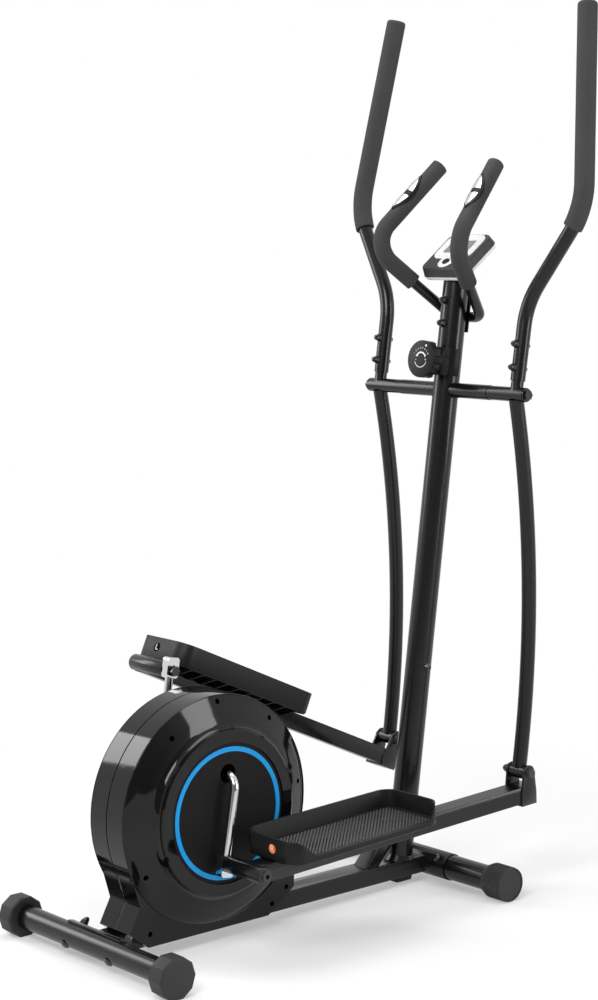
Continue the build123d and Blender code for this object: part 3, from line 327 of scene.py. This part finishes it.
# Pieces with a finish of their own
pin_grey = moulded("pin cap grey", tone(0.03), tone(0.042), 0.36, 0.1, 1300.0, 0.00006, 0.35)
own_finish = {"right_pedal_bolts": pin_grey, "left_pedal_bolts": pin_grey}

slot_of_node = {part["node"]: part["material_slot"] for part in frame["record"]["subparts"]}
for node_name, solid in nodes.items():
    solid.data.materials.clear()
    solid.data.materials.append(own_finish.get(node_name, finish_of_slot[slot_of_node[node_name]]))
    for face in solid.data.polygons:
        face.use_smooth = True
    weld = solid.modifiers.new("closed skin", "WELD")
    weld.merge_threshold = 0.00001
    if node_name in soft_edge:
        rounding = solid.modifiers.new("rounded edges", "BEVEL")
        rounding.width = soft_edge[node_name]
        rounding.segments = 2
        rounding.limit_method = "ANGLE"
        rounding.angle_limit = crease
        rounding.harden_normals = True
    else:
        edges = solid.modifiers.new("crisp edges", "EDGE_SPLIT")
        edges.split_angle = crease


# Helpers for the added pieces

def plain_mesh(maker, name):
    """The finished mesh of an object with live modifiers or text; the maker is removed."""
    bpy.context.view_layer.update()
    graph = bpy.context.evaluated_depsgraph_get()
    mesh = bpy.data.meshes.new_from_object(maker.evaluated_get(graph))
    bpy.data.objects.remove(maker)
    mesh.name = name
    return mesh


def piece(name, mesh, body, material=None, place=None):
    """Puts a mesh at its place and lets it ride on a body."""
    if place is not None:
        mesh.transform(place)
    if material is not None:
        mesh.materials.clear()
        mesh.materials.append(material)
    made = bpy.data.objects.new(name, mesh)
    bpy.context.scene.collection.objects.link(made)
    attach(made, body)
    return made


def frame_matrix(spot, x_axis, y_axis, z_axis):
    columns = Matrix((x_axis, y_axis, z_axis)).transposed().to_4x4()
    return Matrix.Translation(spot) @ columns


def carrier(name):
    made = bpy.data.objects.new(name, bpy.data.meshes.new(name))
    bpy.context.scene.collection.objects.link(made)
    return made


def letters(text, size, thick):
    """Raised text, centred on its own origin and facing +Z."""
    curve = bpy.data.curves.new("letters", "FONT")
    curve.body = text
    curve.size = size
    curve.extrude = thick / 2
    curve.align_x = "CENTER"
    curve.align_y = "CENTER"
    holder = bpy.data.objects.new("letters", curve)
    bpy.context.scene.collection.objects.link(holder)
    return plain_mesh(holder, "letters " + text)


def arc_strip(inner, outer, start, end, thick, steps=40):
    """A flat printed arc facing +Z."""
    mesh = bpy.data.meshes.new("arc")
    work = bmesh.new()
    rows = []
    for step in range(steps + 1):
        angle = math.radians(start + (end - start) * step / steps)
        across = Vector((math.cos(angle), math.sin(angle), 0))
        rows.append([work.verts.new(across * inner), work.verts.new(across * outer)])
    for one, two in zip(rows, rows[1:]):
        work.faces.new((one[0], one[1], two[1], two[0]))
    bmesh.ops.recalc_face_normals(work, faces=work.faces)
    lift = bmesh.ops.extrude_face_region(work, geom=list(work.faces))
    moved = [item for item in lift["geom"] if isinstance(item, bmesh.types.BMVert)]
    bmesh.ops.translate(work, verts=moved, vec=(0, 0, thick))
    bmesh.ops.recalc_face_normals(work, faces=work.faces)
    work.to_mesh(mesh)
    work.free()
    return mesh


def coin(radius, thick, sides=40):
    """A thin round plate, centred on its foot and facing +Z."""
    mesh = bpy.data.meshes.new("coin")
    work = bmesh.new()
    bmesh.ops.create_cone(
        work, cap_ends=True, segments=sides, radius1=radius, radius2=radius * 0.97, depth=thick,
        matrix=Matrix.Translation((0, 0, thick / 2)))
    work.to_mesh(mesh)
    work.free()
    return mesh


# Foam grips: the solid of each grip, softened and left slightly uneven

def foam_grip(node_name, body):
    mesh = nodes[node_name].data.copy()
    work = bmesh.new()
    work.from_mesh(mesh)
    bmesh.ops.remove_doubles(work, verts=work.verts, dist=0.00001)
    work.to_mesh(mesh)
    work.free()
    holder = bpy.data.objects.new("grip work", mesh)
    bpy.context.scene.collection.objects.link(holder)
    remesh = holder.modifiers.new("voxels", "REMESH")
    remesh.mode = "VOXEL"
    remesh.voxel_size = grip_voxel
    soften = holder.modifiers.new("soft", "SMOOTH")
    soften.factor = 0.5
    soften.iterations = 4
    ripple = bpy.data.textures.new(node_name + " ripple", "CLOUDS")
    ripple.noise_scale = 0.035
    uneven = holder.modifiers.new("uneven", "DISPLACE")
    uneven.texture = ripple
    uneven.texture_coords = "LOCAL"
    uneven.strength = foam_ripple
    uneven.mid_level = 1.0
    foam = plain_mesh(holder, node_name + " foam")
    for face in foam.polygons:
        face.use_smooth = True
    made = piece(node_name + "_foam", foam, body, foam_grey)
    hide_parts(node_name)


foam_grip("right_hand_grip", "right_handle")
foam_grip("left_hand_grip", "left_handle")


# Rounded bead along the edge of each side of the drum

def edge_bead(radius, thick, steps=144, sides=8):
    """A thin round ring about the Y axis."""
    mesh = bpy.data.meshes.new("edge bead")
    work = bmesh.new()
    rows = []
    for step in range(steps):
        turn = 2 * math.pi * step / steps
        out = Vector((math.cos(turn), 0, math.sin(turn)))
        row = []
        for part in range(sides):
            angle = 2 * math.pi * part / sides
            rise = Vector((0, thick * math.sin(angle), 0))
            row.append(work.verts.new(out * (radius + thick * math.cos(angle)) + rise))
        rows.append(row)
    for one, two in zip(rows, rows[1:] + rows[:1]):
        for part in range(sides):
            work.faces.new((one[part], one[part - 1], two[part - 1], two[part]))
    bmesh.ops.recalc_face_normals(work, faces=work.faces)
    work.to_mesh(mesh)
    work.free()
    for face in mesh.polygons:
        face.use_smooth = True
    return mesh


ring_low, ring_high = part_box("ring_trims")
drum_middle = (ring_low + ring_high) / 2
for side, way in (("right", -1), ("left", 1)):
    spot = Vector((drum_middle.x, housing_seam + way * drum_half, drum_middle.z))
    piece(side + "_edge_bead", edge_bead(drum_radius, bead_thick), "frame", gloss_black,
          Matrix.Translation(spot))


# Tread on the floor of each foot tray, and ribs under it

def new_tree(name, inputs):
    """An empty node tree with these named inputs, its start and its end."""
    tree = bpy.data.node_groups.new(name, "GeometryNodeTree")
    tree.interface.new_socket("Geometry", in_out="INPUT", socket_type="NodeSocketGeometry")
    tree.interface.new_socket("Geometry", in_out="OUTPUT", socket_type="NodeSocketGeometry")
    for socket, kind in inputs.items():
        tree.interface.new_socket(socket, in_out="INPUT", socket_type="NodeSocket" + kind)
    return tree, tree.nodes.new("NodeGroupInput"), tree.nodes.new("NodeGroupOutput")


def close_tree(tree, source, end, copies):
    """Makes the copies plain mesh, gives them the finish and ends the tree."""
    solid = tree.nodes.new("GeometryNodeRealizeInstances")
    paint = tree.nodes.new("GeometryNodeSetMaterial")
    tree.links.new(copies, solid.inputs[0])
    tree.links.new(solid.outputs[0], paint.inputs["Geometry"])
    tree.links.new(source.outputs["Finish"], paint.inputs["Material"])
    tree.links.new(paint.outputs[0], end.inputs[0])


def tread_tree():
    """Two staggered grids of small pyramids."""
    tree, source, end = new_tree("tread studs", {
        "Length": "Float", "Width": "Float", "Pitch": "Float", "Stud": "Float", "Rise": "Float",
        "Finish": "Material"})

    def sum_of(operation, first, second):
        made = tree.nodes.new("ShaderNodeMath")
        made.operation = operation
        for socket, value in zip(made.inputs, (first, second)):
            if isinstance(value, (int, float)):
                socket.default_value = value
            else:
                tree.links.new(value, socket)
        return made.outputs[0]

    stud = tree.nodes.new("GeometryNodeMeshCone")
    stud.inputs["Vertices"].default_value = 4
    tree.links.new(source.outputs["Stud"], stud.inputs["Radius Bottom"])
    tree.links.new(sum_of("MULTIPLY", source.outputs["Stud"], 0.45), stud.inputs["Radius Top"])
    tree.links.new(source.outputs["Rise"], stud.inputs["Depth"])
    both = tree.nodes.new("GeometryNodeJoinGeometry")
    for shift in (0.0, 1.0):
        grid = tree.nodes.new("GeometryNodeMeshGrid")
        pitch = source.outputs["Pitch"]
        inset = sum_of("MULTIPLY", pitch, shift)
        reach_x = sum_of("SUBTRACT", source.outputs["Length"], inset)
        reach_y = sum_of("SUBTRACT", source.outputs["Width"], inset)
        count_x = sum_of("ADD", sum_of("DIVIDE", reach_x, pitch), 1.5)
        count_y = sum_of("ADD", sum_of("DIVIDE", reach_y, pitch), 1.5)
        tree.links.new(reach_x, grid.inputs["Size X"])
        tree.links.new(reach_y, grid.inputs["Size Y"])
        tree.links.new(count_x, grid.inputs["Vertices X"])
        tree.links.new(count_y, grid.inputs["Vertices Y"])
        spread = tree.nodes.new("GeometryNodeInstanceOnPoints")
        tree.links.new(grid.outputs["Mesh"], spread.inputs["Points"])
        tree.links.new(stud.outputs["Mesh"], spread.inputs["Instance"])
        tree.links.new(spread.outputs["Instances"], both.inputs[0])
    close_tree(tree, source, end, both.outputs[0])
    return tree


def row_tree():
    """A row of copies of the mesh it is given, one step apart."""
    tree, source, end = new_tree("rib row", {
        "Count": "Int", "Start": "Vector", "Step": "Vector", "Finish": "Material"})
    line = tree.nodes.new("GeometryNodeMeshLine")
    spread = tree.nodes.new("GeometryNodeInstanceOnPoints")
    tree.links.new(source.outputs["Count"], line.inputs["Count"])
    tree.links.new(source.outputs["Start"], line.inputs["Start Location"])
    tree.links.new(source.outputs["Step"], line.inputs["Offset"])
    tree.links.new(line.outputs["Mesh"], spread.inputs["Points"])
    tree.links.new(source.outputs["Geometry"], spread.inputs["Instance"])
    close_tree(tree, source, end, spread.outputs["Instances"])
    return tree


def rib_pair(arm_at):
    """One rib under a tray: a sloped fin on each side of the arm, in the tray's frame."""
    base = -tray_height / 2
    top = base + rib_root
    mesh = bpy.data.meshes.new("rib")
    work = bmesh.new()
    for way in (-1, 1):
        arm_side = arm_at + way * (arm_half + arm_gap)
        boss_side = arm_at + way * (arm_half + boss_gap)
        wall_side = way * (tray_width / 2 - tray_wall - rib_gap)
        outline = [
            (boss_side, top), (boss_side, base - rib_gap), (arm_side, base - rib_gap),
            (arm_side, base - rib_drop), (arm_side + way * rib_land, base - rib_drop),
            (wall_side, base), (wall_side, top)]
        face = work.faces.new([work.verts.new((-rib_thick / 2, y, z)) for y, z in outline])
        lift = bmesh.ops.extrude_face_region(work, geom=[face])
        moved = [item for item in lift["geom"] if isinstance(item, bmesh.types.BMVert)]
        bmesh.ops.translate(work, verts=moved, vec=(rib_thick, 0, 0))
    bmesh.ops.recalc_face_normals(work, faces=work.faces)
    bmesh.ops.bevel(work, geom=list(work.edges), offset=rib_edge, segments=1, affect="EDGES")
    work.to_mesh(mesh)
    work.free()
    return mesh


def grown(tree, name, values, mesh=None):
    """Runs a node tree with these inputs and returns the plain mesh."""
    holder = carrier(name)
    if mesh is not None:
        holder.data = mesh
    modifier = holder.modifiers.new(name, "NODES")
    modifier.node_group = tree
    for item in tree.interface.items_tree:
        if item.in_out == "INPUT" and item.name in values:
            modifier[item.identifier] = values[item.name]
    return plain_mesh(holder, name)


def tray_place(side):
    """Frame of a foot tray: origin at its middle, X forward along its arm, Z up from its floor."""
    tray = nodes[side + "_foot_tray"].data
    sideways = Vector((0, 1, 0))
    level = [face for face in tray.polygons if face.normal.z > 0.8 and abs(face.normal.y) < 0.01]
    up = max(level, key=lambda face: face.area).normal.normalized()
    forward = sideways.cross(up)
    middle = Vector((0, 0, 0))
    for axis in (forward, sideways, up):
        reach = [vertex.co.dot(axis) for vertex in tray.vertices]
        middle += axis * (min(reach) + max(reach)) / 2
    return frame_matrix(middle, forward, sideways, up)


tread = tread_tree()
rib_row = row_tree()
for side, way in (("right", -1), ("left", 1)):
    place = tray_place(side)
    pedal = side + "_pedal"
    # The studs take the lighter finish, which paints sheen onto the tray floor
    studs = grown(tread, side + " tread", {
        "Length": tray_length - 2 * tray_wall - 4 * tread_pitch,
        "Width": tray_width - 2 * tray_wall - 3 * tread_pitch,
        "Pitch": tread_pitch, "Stud": stud_size, "Rise": stud_height, "Finish": tread_black_and_painted_sheen})
    floor_place = place @ Matrix.Translation((0, 0, -tray_floor_drop - 0.02 * mm))
    piece(side + "_tread", studs, pedal, None, floor_place)

    # Ribs between the floor of the tray and its arm
    ribs = grown(rib_row, side + " ribs", {
        "Count": rib_count, "Start": (-rib_pitch * (rib_count - 1) / 2, 0, 0), "Step": (rib_pitch, 0, 0),
        "Finish": tray_black}, rib_pair(-way * arm_off_middle))
    piece(side + "_ribs", ribs, pedal, None, place)

    # Painted shade in the head of the crank pin: a flat black hexagon stands in for the shaded hollow of its
    # socket
    ends = [vertex.co for vertex in nodes[side + "_pedal_bolts"].data.vertices]
    tip = max(way * spot.y for spot in ends)
    head = [spot for spot in ends if way * spot.y > tip - 0.3 * mm]
    pin = sum(head, Vector((0, 0, 0))) / len(head)
    turned = frame_matrix(pin, Vector((1, 0, 0)), Vector((0, 0, -way)), Vector((0, way, 0)))
    piece(side + "_painted_socket_shade", coin(socket_radius, print_thick, 6), pedal, black_print_and_painted_shade, turned)

    # Round mark with a letter on the rear wall of the tray
    rear = Matrix.Translation((-tray_length / 2, way * mark_out, 2 * mm))
    facing = frame_matrix(Vector((0, 0, 0)), Vector((0, -1, 0)), Vector((0, 0, 1)), Vector((-1, 0, 0)))
    spot = place @ rear @ facing
    ground = orange_print if side == "right" else black_print_and_painted_shade
    piece(side + "_mark", coin(mark_radius, print_thick), pedal, ground, spot)
    sign = letters("R" if side == "right" else "L", 1.9 * mark_radius, print_thick)
    raised = spot @ Matrix.Translation((0, 0, print_thick))
    piece(side + "_letter", sign, pedal, white_print, raised)


# Printed marks on the tension dial

def face_reach(node_name, spot, axis):
    """How far a solid reaches from a point along an axis."""
    return max((vertex.co - spot).dot(axis) for vertex in nodes[node_name].data.vertices)


dial_joint = joints["tension_dial_turn"]
dial_axis = Vector(dial_joint["axis"]).normalized()
dial_spot = Vector(dial_joint["pos_m"])
dial_right = Vector((0, -1, 0))
dial_front = dial_spot + dial_axis * face_reach("tension_dial", dial_spot, dial_axis)
dial_place = frame_matrix(dial_front, dial_right, dial_axis.cross(dial_right), dial_axis)


def dial_mark(name, mesh, place=Matrix.Identity(4)):
    piece(name, mesh, "dial", white_print, dial_place @ place)


dot_spot = Matrix.Translation((0.32 * dial_radius, 0.72 * dial_radius, 0))
dial_mark("dial_dot", coin(dot_size, print_thick), dot_spot)
dial_mark("dial_sweep", arc_strip(*sweep_band, 30, 150, print_thick))
dial_mark("dial_ring", arc_strip(*ring_band, 200, 340, print_thick))
for turn, way in ((30, -1), (150, 1)):
    head = coin(arrow_size, print_thick, 3)
    angle = math.radians(turn)
    spot = Matrix.Translation((arrow_circle * math.cos(angle), arrow_circle * math.sin(angle), 0))
    dial_mark("dial_arrow_%d" % turn, head, spot @ Matrix.Rotation(angle + way * math.pi / 2, 4, "Z"))
for number in range(1, 9):
    angle = math.radians(150 - (number - 1) * 120 / 7)
    spot = Matrix.Translation((number_circle * math.cos(angle), number_circle * math.sin(angle), 0))
    dial_mark("dial_number_%d" % number, letters(str(number), number_size, print_thick), spot)
for sign, way in (("-", -1), ("+", 1)):
    spot = Matrix.Translation((way * sign_spot[0], sign_spot[1], 0))
    dial_mark("dial_sign_%d" % way, letters(sign, sign_size, print_thick), spot)


# Studio: pale floor, white surroundings, four soft lamps

def studio_floor():
    finish = Finish("pale floor")
    slow = finish.noise(0.6, 2.0)
    paint = finish.node("ShaderNodeBsdfDiffuse", None, {
        "Color": finish.blend(slow, tone(0.86), tone(0.9))}, out="BSDF")
    glow = finish.node("ShaderNodeEmission", None, {"Color": tone(1.0), "Strength": 1.0}, out="Emission")
    away = finish.node("ShaderNodeVectorMath", {"operation": "LENGTH"}, {0: finish.spot}, out="Value")
    fade = finish.node("ShaderNodeMapRange", {"interpolation_type": "SMOOTHSTEP"}, {
        "Value": away, "From Min": 0.7, "From Max": 1.5, "To Min": floor_lift, "To Max": 1.0})
    share = fade * (finish.ray("Camera") + finish.ray("Glossy"))
    mixed = finish.node("ShaderNodeMixShader", None, {0: share, 1: paint, 2: glow}, out="Shader")
    finish.shown("ShaderNodeOutputMaterial", mixed)
    mesh = bpy.data.meshes.new("floor")
    half = 14.0
    corners = [(-half, -half, 0), (half, -half, 0), (half, half, 0), (-half, half, 0)]
    mesh.from_pydata(corners, [], [(0, 1, 2, 3)])
    mesh.materials.append(finish.owner)
    floor = bpy.data.objects.new("floor", mesh)
    bpy.context.scene.collection.objects.link(floor)


def soft_lamp(name, spot, target, size, power):
    lamp = bpy.data.lights.new(name, "AREA")
    lamp.shape = "RECTANGLE"
    lamp.size = size[0]
    lamp.size_y = size[1]
    lamp.energy = power
    made = bpy.data.objects.new(name, lamp)
    made.location = spot
    made.rotation_euler = (Vector(target) - Vector(spot)).to_track_quat("-Z", "Y").to_euler()
    bpy.context.scene.collection.objects.link(made)


def surroundings():
    """White to the camera, a soft light on the object, and dimmer mirror images on the camera's side."""
    studio = Finish("studio", bpy.data.worlds.new("studio"))
    bpy.context.scene.world = studio.owner
    way = studio.node("ShaderNodeTexCoord", out="Generated")
    toward = studio.node("ShaderNodeVectorMath", {"operation": "DOT_PRODUCT"}, {
        0: way, 1: camera_side}, out="Value")
    room = studio.node("ShaderNodeMapRange", {"interpolation_type": "SMOOTHSTEP"}, {
        "Value": toward, "From Min": 0.25, "From Max": 0.8, "To Min": 1.0, "To Max": dark_room})
    clear = studio.ray("Camera").or_more(studio.ray("Transmission"))
    light = studio.node("ShaderNodeBackground", None, {"Color": tone(1.0), "Strength": room_light})
    plain = studio.node("ShaderNodeBackground", None, {"Color": tone(1.0), "Strength": room.or_more(clear)})
    seen = clear.or_more(studio.ray("Glossy"))
    mixed = studio.node("ShaderNodeMixShader", None, {0: seen, 1: light, 2: plain}, out="Shader")
    studio.shown("ShaderNodeOutputWorld", mixed)


studio_floor()
surroundings()
middle = (0.05, 0, 0.75)
soft_lamp("key lamp", (-2.6, -1.2, 2.8), middle, (1.6, 1.6), 80)
soft_lamp("side lamp", (1.4, -3.0, 1.6), middle, (0.9, 2.2), 45)
soft_lamp("rear lamp", (-1.6, 2.7, 2.0), middle, (0.9, 2.2), 45)
soft_lamp("top lamp", (0.2, 0.3, 3.6), middle, (2.4, 1.6), 50)

camera = bpy.data.cameras.new("photo camera")
camera.sensor_fit = "VERTICAL"
camera.sensor_height = frame_height
camera.lens = lens_length
camera.clip_end = 100
eye = bpy.data.objects.new("photo camera", camera)
eye.location = camera_spot
eye.rotation_euler = (math.pi / 2 + camera_pitch, 0, camera_yaw - math.pi / 2)
bpy.context.scene.collection.objects.link(eye)
bpy.context.scene.camera = eye
bpy.context.scene.view_settings.view_transform = "Standard"
